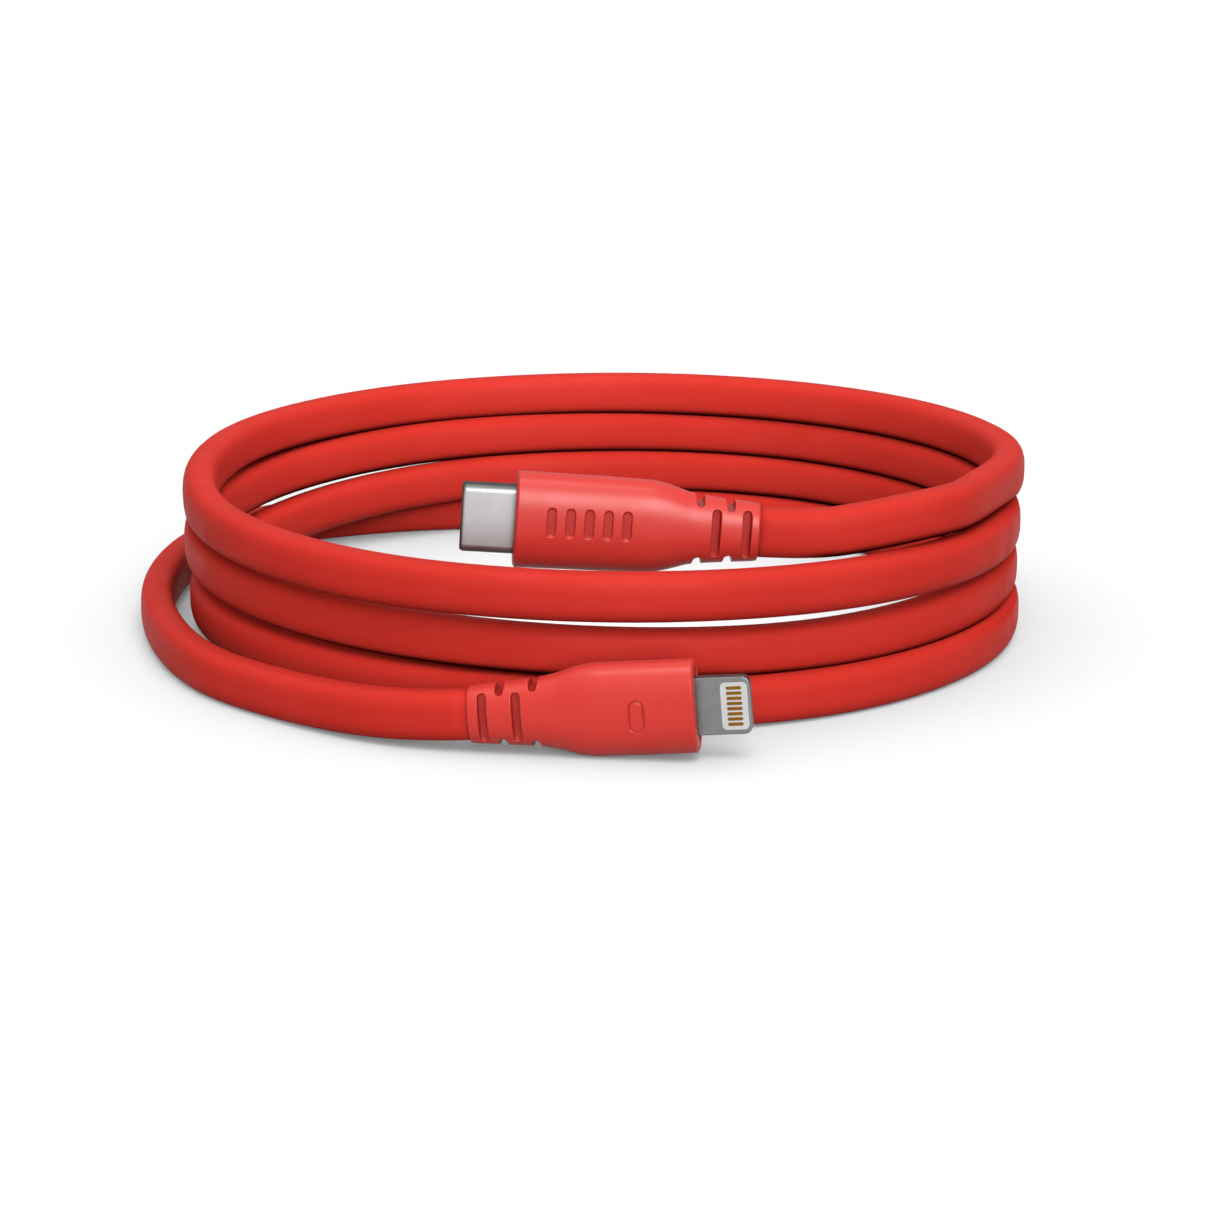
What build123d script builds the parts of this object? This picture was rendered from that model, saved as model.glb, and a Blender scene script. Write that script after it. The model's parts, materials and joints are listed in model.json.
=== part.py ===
from build123d import *
import math
import os

# A flat-oval charging and data cord, lying in a loose upright coil on a table.
# One end has a reversible 24-contact plug (here "type C"), which hangs inside the coil on the stiff
# end of the cord. The other end has an eight-contact tab plug, which lies on the table outside it.
# Units are millimetres. +X is to the right, +Y is away from the front, and +Z is up. The origin is on
# the table, at the middle of the whole object's box.

# ---- driving dimensions: the cord and its coil ----
CORD_HEIGHT = 5.8
CORD_WIDTH = 4.3
CORD_CORNER = 1.7
COIL_CENTRE = (2.3, 5.85)
COIL_INNER_RADIUS = 49.4
COIL_OUTER_RADIUS = 54.9
SECTOR_ANGLE = 30
COIL_START_ANGLE = -30
TOP_STRAND_STEP = 60
# Height of the top strand's centre, from the right-hand side round, one value every 60 degrees.
TOP_STRAND_HEIGHTS = [20.3, 19.9, 18.7, 18.7, 17.0, 15.9, 14.3]
# The ring's top is lower from this angle on, because the type C lead comes in over it.
UNDER_LEAD_ANGLE = 270
UNDER_LEAD_HEIGHT = 17.6

# The cord's routes outside the coil, each from a plug or to one.
TYPE_C_LEAD = [
    (21.1, -35.85, 21.2),
    (27.6, -35.51, 20.76),
    (34.2, -33.45, 21.3),
    (39.8, -30.15, 21.7),
    (44.4, -25.25, 21.5),
    (47.2, -20.35, 21.2),
]
TAB_LOOP = [
    (-7.5, 57.65, 2.9),
    (-28.0, 55.05, 2.9),
    (-46.3, 45.45, 2.9),
    (-54.5, 27.85, 2.9),
    (-55.5, 0.55, 2.9),
    (-47.4, -27.45, 2.9),
    (-35.0, -41.55, 2.9),
    (-20.6, -52.85, 3.6),
    (-12.1, -54.05, 4.28),
]
BEND_SHARE = 0.45

# ---- driving dimensions: the plugs ----
# Each plug has its own axes: x runs from the end of the strain relief to the tip, z up the broad face.
TYPE_C_YAW = 183.0
TYPE_C_PITCH = 3.9
TAB_YAW = -8.0
TAB_PITCH = 4.5

TYPE_C_TIP = 34.85
TAB_TIP = 32.15

# Grip sections: distance from the cord, height, thickness. The first two are the strain relief.
TYPE_C_SECTIONS = [
    (0, 6.8, 5.0),
    (7.9, 8.45, 5.5),
    (9.2, 9.2, 5.75),
    (10.9, 10.25, 6.0),
    (12.8, 10.95, 6.2),
    (28.6, 11.45, 6.4),
]
TAB_SECTIONS = [
    (0, 6.6, 5.0),
    (8.2, 8.0, 5.5),
    (10.4, 8.9, 5.7),
    (12.6, 10.25, 5.95),
    (14.9, 10.75, 6.1),
    (26.0, 10.8, 6.2),
]
GRIP_ROUNDNESS = 0.43
RIM_ROUND = 0.5

# Strain relief: slots in the broad faces and notches in the edges, by turns.
TYPE_C_SLOTS = [1.55, 5.15]
TYPE_C_NOTCHES = [3.5, 7.1]
TAB_SLOTS = [1.8, 5.7]
TAB_NOTCHES = [3.8, 7.65]
SLOT_WIDTH = 1.0
SLOT_HEIGHT = 5.6
SLOT_DEPTH = 0.7
NOTCH_DEPTH = 1.1

# Standard sizes of the two connectors.
SHELL_HEIGHT = 8.25
SHELL_THICKNESS = 2.4
SHELL_WALL = 0.25
SHELL_START = 22.1
HOUSING_START = 24.0
HOUSING_END = 34.35
TONGUE_HEIGHT = 6.2
TONGUE_GAP = 0.85
CONTACT_COUNT = 12
CONTACT_PITCH = 0.5
CONTACT_WIDTH = 0.24
CONTACT_THICKNESS = 0.115
CONTACT_CLEARANCE = 0.305
CONTACT_START = 22.0
CONTACT_END = 33.05
GROUND_SPRING_START = 30.65
GROUND_SPRING_END = 33.25
GROUND_SPRING_HEIGHT = 5.0
GROUND_SPRING_SHEET = 0.14
GROUND_SPRING_FRAME = 0.6
GROUND_SPRING_WINDOW = 0.9
GROUND_SPRING_PITCH = 1.5
LATCH_SHEET = 0.3
LATCH_BASE_END = 26.0
LATCH_ARM_END = 32.7
LATCH_ARM_WIDTH = 0.18
BLADE_START = 20.6
BLADE_HEIGHT = 6.7
BLADE_THICKNESS = 1.5
BLADE_CORNER = 0.8
ROOT_START = 22.0
ROOT_END = 25.0
ROOT_THICKNESS = 2.6
ROOT_HEIGHT = 8.0
BLADE_SLOT_THICKNESS = 0.84
BLADE_SLOT_HEIGHT = 5.2
INSERT_START = 28.75
INSERT_END = 31.8
INSERT_HEIGHT = 5.5
INSERT_CORNER = 0.55
PAD_COUNT = 8
PAD_PITCH = 0.6
PAD_LENGTH = 1.75
PAD_WIDTH = 0.36
PAD_SHEET = 0.2
PAD_RECESS = 0.15

# Inside both grips.
CORD_END_START = 0.03
CORD_END = 9.2
BRAID_OUTER = 1.8
BRAID_INNER = 1.5
BRAID_END = 12.4
FERRULE_OUTER = 2.2
FERRULE_START = 9.6
WIRE_RADIUS = 0.45
WIRE_END = 16.0
WIRE_ROW = 0.76
WIRE_GAP = 0.5
CAN_HEIGHT = 7.9
CAN_DEPTH = 1.9
CAN_WALL = 0.25
CAN_START = 12.8
TYPE_C_CAN_END = 24.4
TAB_CAN_END = 21.4
BOARD_START = 13.6
BOARD_THICKNESS = 0.6
BOARD_HEIGHT = 7.3
TYPE_C_BOARD_SHOULDER = 21.8
TYPE_C_BOARD_END = 23.5
TYPE_C_BOARD_TONGUE = 6.0
TAB_BOARD_SHOULDER = 20.4
TAB_BOARD_END = 28.65
TAB_BOARD_TONGUE = 4.8
PASSIVE_LENGTH = 1.0
PASSIVE_WIDTH = 0.5
PASSIVE_RISE = 0.45
PASSIVE_PITCH = 1.6
MOULD_HEIGHT = 8.8
MOULD_THICKNESS = 4.6
MOULD_CORNER = 1.3
MOULD_BORE_CORNER = 1.7
TYPE_C_MOULD_END = 27.2
TAB_MOULD_END = 24.6
FIT_GAP = 0.01


def block(x_start, x_end, y_start, y_end, z_start, z_end):
    """A box between two corners."""
    size = (x_end - x_start, y_end - y_start, z_end - z_start)
    middle = ((x_start + x_end) / 2, (y_start + y_end) / 2, (z_start + z_end) / 2)
    return Pos(*middle) * Box(*size)


def bar(x_start, x_end, thickness, height, corner):
    """A straight bar of rounded section along x."""
    section = Plane.YZ.offset(x_start) * RectangleRounded(thickness, height, corner)
    return extrude(section, amount=x_end - x_start)


def rod(x_start, x_end, radius, y=0.0, z=0.0):
    """A round rod along x."""
    section = Plane.YZ.offset(x_start) * Pos(y, z) * Circle(radius)
    return extrude(section, amount=x_end - x_start)


def plug_place(exit_point, yaw, pitch):
    """Where a plug's own axes go: x along the plug, z up its broad face."""
    yaw_angle = math.radians(yaw)
    pitch_angle = math.radians(pitch)
    flat = Vector(math.cos(yaw_angle), math.sin(yaw_angle), 0)
    axis = flat * math.cos(pitch_angle) + Vector(0, 0, math.sin(pitch_angle))
    up = flat * -math.sin(pitch_angle) + Vector(0, 0, math.cos(pitch_angle))
    return Plane(origin=exit_point, x_dir=axis, z_dir=up).location


# ---- the cord ----

def cord_tube(name, points):
    """The flat-oval cord along straight runs joined by tangent arcs, with its height upright."""
    vectors = [Vector(*point) for point in points]
    radii = []
    for before, corner, after in zip(vectors, vectors[1:], vectors[2:]):
        turn = math.radians((corner - before).get_angle(after - corner))
        shorter = min((corner - before).length, (after - corner).length)
        radii.append(BEND_SHARE * shorter / math.tan(turn / 2))
    path = FilletPolyline(*vectors, radius=radii)
    tangent = path % 0
    sideways = tangent.cross(Vector(0, 0, 1))
    start = Plane(origin=path @ 0, x_dir=sideways, z_dir=tangent)
    section = start * RectangleRounded(CORD_WIDTH, CORD_HEIGHT, CORD_CORNER)
    tube = sweep(section, path=path)
    share = tube.volume / (section.area * path.length)
    print(name, "bend radii", [round(radius, 1) for radius in radii])
    print(name, "length", round(path.length, 1), "volume against section times length", round(share, 4))
    return tube


def coil():
    """The outer shape of the coiled turns: a ring whose top follows the top strand down."""
    middle = (COIL_INNER_RADIUS + COIL_OUTER_RADIUS) / 2
    width = COIL_OUTER_RADIUS - COIL_INNER_RADIUS
    ring = None
    for index in range(360 // SECTOR_ANGLE):
        angle = COIL_START_ANGLE + index * SECTOR_ANGLE
        steps = max((angle + SECTOR_ANGLE / 2) / TOP_STRAND_STEP, 0)
        here = int(steps)
        share = steps - here
        strand = TOP_STRAND_HEIGHTS[here] * (1 - share) + TOP_STRAND_HEIGHTS[here + 1] * share
        height = strand + CORD_HEIGHT / 2
        if angle >= UNDER_LEAD_ANGLE:
            height = UNDER_LEAD_HEIGHT
        side = Plane.XZ * Pos(middle, height / 2) * Rectangle(width, height)
        sector = Rot(0, 0, angle) * revolve(side, axis=Axis.Z, revolution_arc=SECTOR_ANGLE)
        ring = sector if ring is None else ring + sector
    return Pos(*COIL_CENTRE, 0) * ring


# ---- pieces that both ends have ----

def grip(sections, slots, notches, hollows):
    """The soft moulded grip: strain relief, shoulder and parallel body, with its hollows."""
    def station(distance, height, thickness):
        return Plane.YZ.offset(distance) * RectangleRounded(thickness, height, GRIP_ROUNDNESS * thickness)

    relief = loft([station(*values) for values in sections[:2]])
    shoulder = loft([station(*values) for values in sections[1:-1]])
    body = loft([station(*values) for values in sections[-2:]])
    body = fillet(body.faces().sort_by(Axis.X)[-1].edges(), RIM_ROUND)
    shape = relief + shoulder + body
    for distance in slots:
        thickness = relief_size(sections, distance, 2)
        for side in (-1, 1):
            slot = Plane.XZ.offset(side * (thickness / 2 - SLOT_DEPTH))
            mouth = slot * Pos(distance, 0) * SlotOverall(SLOT_HEIGHT, SLOT_WIDTH, rotation=90)
            shape -= extrude(mouth, amount=side * 2 * SLOT_DEPTH)
    for distance in notches:
        height = relief_size(sections, distance, 1)
        for side in (-1, 1):
            floor = side * (height / 2 - NOTCH_DEPTH + SLOT_WIDTH / 2)
            shape -= Pos(distance, 0, floor) * Rot(90, 0, 0) * Cylinder(SLOT_WIDTH / 2, 2 * CORD_HEIGHT)
            mouth = Box(SLOT_WIDTH, 2 * CORD_HEIGHT, 2 * NOTCH_DEPTH)
            shape -= Pos(distance, 0, floor + side * NOTCH_DEPTH) * mouth
    for hollow in hollows:
        shape -= hollow
    return shape


def relief_size(sections, distance, column):
    """Height (column 1) or thickness (column 2) of the strain relief at a distance."""
    share = distance / sections[1][0]
    return sections[0][column] * (1 - share) + sections[1][column] * share


def cord_end():
    """The jacket's last stretch, inside the strain relief."""
    return bar(CORD_END_START, CORD_END, CORD_WIDTH, CORD_HEIGHT, CORD_CORNER)


def braid():
    """The folded shield braid behind the board."""
    return rod(CORD_END, BRAID_END, BRAID_OUTER) - rod(CORD_END, BRAID_END, BRAID_INNER)


def ferrule():
    """The crimped ring over the braid."""
    return rod(FERRULE_START, BRAID_END, FERRULE_OUTER) - rod(FERRULE_START, BRAID_END, BRAID_OUTER)


def wire(side, row):
    """One insulated conductor, from the jacket to its pad on the board."""
    return rod(CORD_END, WIRE_END, WIRE_RADIUS, side * WIRE_ROW, row * WIRE_GAP)


def can_half(side, end, front_opening):
    """Half of the folded shield can, on one side of the board."""
    low, high = sorted((side * FIT_GAP, side * CAN_DEPTH))
    inner_low, inner_high = sorted((0, side * (CAN_DEPTH - CAN_WALL)))
    half = CAN_HEIGHT / 2
    inner_half = half - CAN_WALL
    shell = block(CAN_START, end, low, high, -half, half)
    shell -= block(CAN_START + CAN_WALL, end - CAN_WALL, inner_low, inner_high, -inner_half, inner_half)
    shell -= rod(CAN_START - 1, CAN_START + 1, BRAID_OUTER)
    shell -= front_opening
    return shell


def inner_mould(end, front_opening):
    """The hard inner moulding round the shield can."""
    mould = bar(BRAID_END, end, MOULD_THICKNESS, MOULD_HEIGHT, MOULD_CORNER)
    mould -= bar(BRAID_END, CAN_START, 2 * BRAID_OUTER, 2 * BRAID_OUTER, MOULD_BORE_CORNER)
    return mould - front_opening


# ---- the type C end ----

def oval_bar(x_start, x_end, inset):
    """A bar of the shell's oval section, made smaller all round by inset."""
    thickness = SHELL_THICKNESS - 2 * inset
    return bar(x_start, x_end, thickness, SHELL_HEIGHT - 2 * inset, thickness / 2 - FIT_GAP)


def type_c_shell():
    """The drawn steel shell, open at the mouth and at the board."""
    return oval_bar(SHELL_START, TYPE_C_TIP, 0) - oval_bar(SHELL_START - 1, TYPE_C_TIP + 1, SHELL_WALL)


def type_c_contact_housing():
    """The black insulator inside the shell, with the slot that takes the socket's tongue."""
    housing = oval_bar(HOUSING_START, HOUSING_END, SHELL_WALL + FIT_GAP)
    half_gap = TONGUE_GAP / 2
    half_slot = TONGUE_HEIGHT / 2
    housing -= block(HOUSING_START - 1, TYPE_C_TIP + 1, -half_gap, half_gap, -half_slot, half_slot)
    for side in (-1, 1):
        housing -= ground_spring_blank(side)
    return housing


def ground_spring_blank(side):
    """The plate that a ground spring is stamped from."""
    outer = SHELL_THICKNESS / 2 - SHELL_WALL - FIT_GAP
    low, high = sorted((side * (outer - GROUND_SPRING_SHEET), side * outer))
    half = GROUND_SPRING_HEIGHT / 2
    return block(GROUND_SPRING_START, GROUND_SPRING_END, low, high, -half, half)


def ground_spring(side):
    """A ground spring: a plate with three finger windows."""
    plate = ground_spring_blank(side)
    start = GROUND_SPRING_START + GROUND_SPRING_FRAME
    end = GROUND_SPRING_END - GROUND_SPRING_FRAME
    for row in (-1, 0, 1):
        low = row * GROUND_SPRING_PITCH - GROUND_SPRING_WINDOW / 2
        plate -= block(start, end, -SHELL_THICKNESS, SHELL_THICKNESS, low, low + GROUND_SPRING_WINDOW)
    return plate


def type_c_contacts(side):
    """One row of twelve spring contacts, from the board to the mouth."""
    near = side * CONTACT_CLEARANCE
    low, high = sorted((near, near + side * CONTACT_THICKNESS))
    strips = []
    for index in range(CONTACT_COUNT):
        bottom = (index - (CONTACT_COUNT - 1) / 2) * CONTACT_PITCH - CONTACT_WIDTH / 2
        strips.append(block(CONTACT_START, CONTACT_END, low, high, bottom, bottom + CONTACT_WIDTH))
    return Compound(strips)


def type_c_latch_plate():
    """The fork between the contact rows, whose arms click into the socket's tongue."""
    half = LATCH_SHEET / 2
    reach = TONGUE_HEIGHT / 2 - 2 * FIT_GAP
    plate = block(HOUSING_START, LATCH_BASE_END, -half, half, -reach, reach)
    for side in (-1, 1):
        low, high = sorted((side * (reach - LATCH_ARM_WIDTH), side * reach))
        plate += block(HOUSING_START, LATCH_ARM_END, -half, half, low, high)
    return plate


def board(shoulder, end, tongue):
    """A circuit board behind the conductors, with a narrower tongue towards the tip."""
    half = BOARD_THICKNESS / 2
    wide = block(BOARD_START, shoulder, -half, half, -BOARD_HEIGHT / 2, BOARD_HEIGHT / 2)
    return wide + block(shoulder, end, -half, half, -tongue / 2, tongue / 2)


def board_part(side, x_start, length, height, middle, rise):
    """A component that stands on one face of a board."""
    low, high = sorted((side * BOARD_THICKNESS / 2, side * (BOARD_THICKNESS / 2 + rise)))
    return block(x_start, x_start + length, low, high, middle - height / 2, middle + height / 2)


def passives(side, x_start, rows):
    """Small resistors and capacitors in a row across a board."""
    parts = []
    for row in rows:
        middle = row * PASSIVE_PITCH
        parts.append(board_part(side, x_start, PASSIVE_LENGTH, PASSIVE_WIDTH, middle, PASSIVE_RISE))
    return Compound(parts)


# ---- the tab end ----

def tab_root():
    """The thicker root of the steel tab, held by the grip."""
    half = ROOT_THICKNESS / 2
    return block(ROOT_START, ROOT_END, -half, half, -ROOT_HEIGHT / 2, ROOT_HEIGHT / 2)


def tab_frame():
    """The steel tab: a flat blade with a window for the insert, on its root."""
    blade = bar(BLADE_START, TAB_TIP, BLADE_THICKNESS, BLADE_HEIGHT, BLADE_THICKNESS / 2 - 2 * FIT_GAP)
    length = TAB_TIP - BLADE_START
    face = RectangleRounded(length, BLADE_HEIGHT, BLADE_CORNER)
    blade &= extrude(Plane.XZ * Pos(BLADE_START + length / 2, 0) * face, amount=BLADE_THICKNESS, both=True)
    frame = tab_root() + blade - insert_blank()
    half = BLADE_SLOT_THICKNESS / 2
    reach = BLADE_SLOT_HEIGHT / 2
    return frame - block(BLADE_START - 1, INSERT_START + 10 * FIT_GAP, -half, half, -reach, reach)


def insert_blank():
    """The rounded block that fills the tab's window."""
    middle = (INSERT_START + INSERT_END) / 2
    face = RectangleRounded(INSERT_END - INSERT_START, INSERT_HEIGHT, INSERT_CORNER)
    return extrude(Plane.XZ * Pos(middle, 0) * face, amount=BLADE_THICKNESS / 2 + FIT_GAP, both=True)


def tab_pads(side):
    """Eight gold pads on one face of the tab, standing a little proud of the insert."""
    surface = side * (BLADE_THICKNESS / 2 - PAD_RECESS)
    pads = []
    for index in range(PAD_COUNT):
        middle = (index - (PAD_COUNT - 1) / 2) * PAD_PITCH
        outline = Plane.XZ.offset(-surface) * Pos((INSERT_START + INSERT_END) / 2, middle)
        pads.append(extrude(outline * SlotOverall(PAD_LENGTH, PAD_WIDTH), amount=-side * PAD_SHEET))
    return Compound(pads)


def tab_insulator():
    """The white insert in the tab's window, which holds the pads."""
    insert = insert_blank()
    for side in (-1, 1):
        insert -= tab_pads(side)
    return insert


# ---- assembly ----

def can_blank(end):
    """The whole space that a shield can takes."""
    return block(CAN_START, end, -CAN_DEPTH, CAN_DEPTH, -CAN_HEIGHT / 2, CAN_HEIGHT / 2)


def grip_hollows(mould_end, front_opening):
    """What a grip is moulded round: cord, ferrule, inner mould and connector."""
    mould_blank = bar(BRAID_END, mould_end, MOULD_THICKNESS, MOULD_HEIGHT, MOULD_CORNER)
    return [cord_end(), rod(0, BRAID_END, FERRULE_OUTER), mould_blank, front_opening]


def type_c_pieces():
    opening = oval_bar(SHELL_START, TYPE_C_TIP + 1, 0)
    hollows = grip_hollows(TYPE_C_MOULD_END, opening)
    return {
        "type_c_grip": grip(TYPE_C_SECTIONS, TYPE_C_SLOTS, TYPE_C_NOTCHES, hollows),
        "type_c_inner_mould": inner_mould(TYPE_C_MOULD_END, opening) - can_blank(TYPE_C_CAN_END),
        "type_c_shield_near": can_half(1, TYPE_C_CAN_END, opening),
        "type_c_shield_far": can_half(-1, TYPE_C_CAN_END, opening),
        "type_c_shell": type_c_shell(),
        "type_c_contact_housing": type_c_contact_housing(),
        "type_c_near_contacts": type_c_contacts(1),
        "type_c_far_contacts": type_c_contacts(-1),
        "type_c_latch_plate": type_c_latch_plate(),
        "type_c_near_ground_spring": ground_spring(1),
        "type_c_far_ground_spring": ground_spring(-1),
        "type_c_board": board(TYPE_C_BOARD_SHOULDER, TYPE_C_BOARD_END, TYPE_C_BOARD_TONGUE),
        "type_c_id_chip": board_part(1, 17.5, 2.4, 2.4, 0, 0.8),
        "type_c_passives": passives(-1, 18.2, (-1, 0, 1)),
    }


def tab_pieces():
    half = BLADE_THICKNESS / 2
    opening = tab_root() + block(BLADE_START, TAB_TIP, -half, half, -BLADE_HEIGHT / 2, BLADE_HEIGHT / 2)
    hollows = grip_hollows(TAB_MOULD_END, opening)
    return {
        "tab_grip": grip(TAB_SECTIONS, TAB_SLOTS, TAB_NOTCHES, hollows),
        "tab_inner_mould": inner_mould(TAB_MOULD_END, opening) - can_blank(TAB_CAN_END),
        "tab_shield_near": can_half(-1, TAB_CAN_END, opening),
        "tab_shield_far": can_half(1, TAB_CAN_END, opening),
        "tab_frame": tab_frame(),
        "tab_insulator": tab_insulator(),
        "tab_near_contacts": tab_pads(-1),
        "tab_far_contacts": tab_pads(1),
        "tab_board": board(TAB_BOARD_SHOULDER, TAB_BOARD_END, TAB_BOARD_TONGUE),
        "tab_id_chip": board_part(-1, 16.8, 2.2, 2.2, -0.9, 0.7),
        "tab_power_chip": board_part(1, 16.8, 1.8, 3.0, 0, 0.7),
        "tab_capacitors": passives(-1, 16.8, (1, 2)),
    }


def shared_pieces(end):
    """The pieces that are the same in both grips."""
    pieces = {end + "_cord_end": cord_end(), end + "_braid": braid(), end + "_ferrule": ferrule()}
    conductors = {"power": (1, 1), "ground": (1, -1), "data_plus": (-1, 1), "data_minus": (-1, -1)}
    for name, (side, row) in conductors.items():
        pieces[end + "_" + name + "_wire"] = wire(side, row)
    return pieces


def build():
    nodes = {}
    ends = [
        ("type_c", type_c_pieces(), plug_place(TYPE_C_LEAD[0], TYPE_C_YAW, TYPE_C_PITCH)),
        ("tab", tab_pieces(), plug_place(TAB_LOOP[-1], TAB_YAW, TAB_PITCH)),
    ]
    for end, pieces, place in ends:
        pieces.update(shared_pieces(end))
        for name, shape in pieces.items():
            nodes[name] = place * shape
    nodes["cord_coil"] = coil()
    nodes["cord_type_c_lead"] = cord_tube("cord_type_c_lead", TYPE_C_LEAD)
    nodes["cord_tab_loop"] = cord_tube("cord_tab_loop", TAB_LOOP) - nodes["cord_coil"]
    return nodes


os.makedirs("parts", exist_ok=True)
for node_name, node_shape in build().items():
    export_step(node_shape, "parts/" + node_name + ".step")
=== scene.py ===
import json
import math

import bmesh
import bpy
import numpy as np
from mathutils import Matrix, Vector


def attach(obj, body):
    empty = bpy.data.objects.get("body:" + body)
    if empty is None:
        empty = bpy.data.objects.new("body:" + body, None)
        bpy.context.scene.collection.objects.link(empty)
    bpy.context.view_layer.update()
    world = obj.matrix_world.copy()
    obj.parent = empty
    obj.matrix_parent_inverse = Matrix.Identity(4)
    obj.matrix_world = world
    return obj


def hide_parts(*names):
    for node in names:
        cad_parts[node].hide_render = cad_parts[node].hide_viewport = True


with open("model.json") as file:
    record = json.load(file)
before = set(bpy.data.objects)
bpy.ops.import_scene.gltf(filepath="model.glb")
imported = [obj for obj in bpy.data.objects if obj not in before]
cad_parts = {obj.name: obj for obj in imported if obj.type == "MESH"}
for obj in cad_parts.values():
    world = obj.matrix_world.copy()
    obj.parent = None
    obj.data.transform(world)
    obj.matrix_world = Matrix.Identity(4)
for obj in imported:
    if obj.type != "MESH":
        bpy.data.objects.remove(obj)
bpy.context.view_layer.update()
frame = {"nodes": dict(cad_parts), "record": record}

MM = 0.001

# ---- driving values, in millimetres and degrees unless a name says otherwise ----

# The camera looks along +Y from the front, a little from above.
CAMERA_TARGET = Vector((3.4, 10.95, 0.0))
CAMERA_ELEVATION = 14.5
CAMERA_DISTANCE = 461.0
CAMERA_LENS = 103.8
CAMERA_SENSOR = 36.0

# The cord's section, and its route: out of the type C plug, round the coil, and out to the tab plug.
CORD_HEIGHT = 5.8
CORD_WIDTH = 4.3
CORD_POWER = 3.0
COIL_CENTRE = (2.3, 5.85)
TYPE_C_LEAD = [
    (21.1, -35.85, 21.2),
    (27.6, -35.51, 20.76),
    (34.2, -33.45, 21.3),
    (39.8, -30.15, 21.7),
    (44.4, -25.25, 21.5),
    (47.2, -20.35, 21.2),
]
TAB_LOOP = [
    (-7.5, 57.65, 2.9),
    (-28.0, 55.05, 2.9),
    (-46.3, 45.45, 2.9),
    (-54.5, 27.85, 2.9),
    (-55.5, 0.55, 2.9),
    (-47.4, -27.45, 2.9),
    (-35.0, -41.55, 2.9),
    (-20.6, -52.85, 3.6),
    (-12.1, -54.05, 4.28),
]
# The coil's loose turns: radius and height of the cord's middle, one pair every 60 degrees from +X round.
TURN_STEP = 60
TURNS = [
    (53.0, 20.3), (51.7, 19.8), (54.9, 18.7), (50.5, 18.7), (54.5, 17.25), (53.5, 15.8),
    (51.8, 14.3), (52.5, 14.3), (53.5, 13.3), (51.0, 11.9), (51.5, 10.4), (51.5, 8.3),
    (51.8, 8.5), (52.5, 8.7), (51.5, 7.7), (50.5, 4.6), (51.0, 4.0), (53.0, 2.9),
    (52.0, 2.9), (51.5, 2.9),
]
POINTS_PER_TURN = 12
LAST_TURN_ANGLE = 1170
CORD_RING = 48
# The painted shade in the crevice under a turn that lies on another: how far it reaches from the other's
# middle, over what width it fades, how far below the turn's own middle it starts and is full, and how closely
# it is measured.
# Two places on the cord are on different turns when they are TURNS_APART along it.
CREVICE_REACH = 5.2
CREVICE_FADE = 0.9
CREVICE_LOW = (1.9, 2.4)
CREVICE_STEP = 0.4
TURNS_APART = 60

# Each plug has its own axes: x runs from the end of the strain relief to the tip, z up the broad face.
TYPE_C_YAW = 183.0
TYPE_C_PITCH = 3.9
TAB_YAW = -8.0
TAB_PITCH = 4.5

# Grip stations: distance from the cord, height, thickness.
TYPE_C_STATIONS = [
    (0, 6.8, 5.0),
    (7.9, 8.45, 5.5),
    (9.2, 9.2, 5.75),
    (10.9, 10.25, 6.0),
    (12.8, 10.95, 6.2),
    (28.6, 11.45, 6.4),
]
TAB_STATIONS = [
    (0, 6.6, 5.0),
    (8.2, 8.0, 5.5),
    (10.4, 8.9, 5.7),
    (12.6, 10.25, 5.95),
    (14.9, 10.75, 6.1),
    (26.0, 10.8, 6.2),
]
GRIP_POWER = 2.4
GRIP_RING = 360
FRONT_ROUND = 0.7
RIM_CREASE = 35
BACK_ROUND = 0.25
TYPE_C_SLOTS = [1.55, 5.15]
TYPE_C_NOTCHES = [3.5, 7.1]
TAB_SLOTS = [1.8, 5.7]
TAB_NOTCHES = [3.8, 7.65]
SLOT_WIDTH = 1.0
SLOT_HEIGHT = 5.6
SLOT_DEPTH = 1.1
NOTCH_DEPTH = 1.1
WALL = 0.05
MARK_DEPTH = 0.35
TYPE_C_BARS = [15.6, 17.8, 20.0, 22.2, 24.4]
TYPE_C_BAR_RISE = 0.45
TYPE_C_BAR_SIZE = (1.05, 3.4)
TAB_MARK_MIDDLE = (19.4, -0.3)
TAB_MARK_SIZE = (1.6, 3.6)
TAB_MARK_LINE = 0.2

# Standard sizes of the connectors, and the hollows in the grips.
SHELL_HEIGHT = 8.25
SHELL_THICKNESS = 2.4
SHELL_WALL = 0.25
SHELL_CORNER = 1.0
SHELL_START = 22.1
# The rolled mouth, from the outside round to the inside: way back from the tip, and inset from the outside.
SHELL_MOUTH = [
    (7, 0), (0.42, 0), (0.36, 0.01), (0.26, 0.05), (0.14, 0.11), (0.05, 0.17), (0, 0.24),
    (0.02, 0.31), (0.1, 0.36), (0.3, 0.35), (0.6, 0.30), (0.9, SHELL_WALL), (7, SHELL_WALL),
]
# Where the shell's painted shade and dark reflection lie: the flat face runs to so far back from the tip and
# so far in, and on the corner rounding they start and fade in at these shares.
SHELL_FACE_BACK = 0.2
SHELL_FACE_INSET = 0.2
SHELL_EDGE_START = 0.35
SHELL_EDGE_FADE = 0.3
TYPE_C_TIP = 34.85
BLADE_START = 20.6
BLADE_HEIGHT = 6.7
BLADE_THICKNESS = 1.5
BLADE_BEVEL = 0.2
BLADE_CORNER = 0.95
WINDOW_CORNER = 0.5
TAB_TIP = 32.15
INSERT_START = 28.75
INSERT_END = 31.8
INSERT_HEIGHT = 5.5
ROOT_START = 22.0
ROOT_END = 25.0
ROOT_HEIGHT = 8.0
ROOT_THICKNESS = 2.6
ROOT_CORNER = 0.08
MOULD_HEIGHT = 8.8
MOULD_THICKNESS = 4.6
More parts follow.
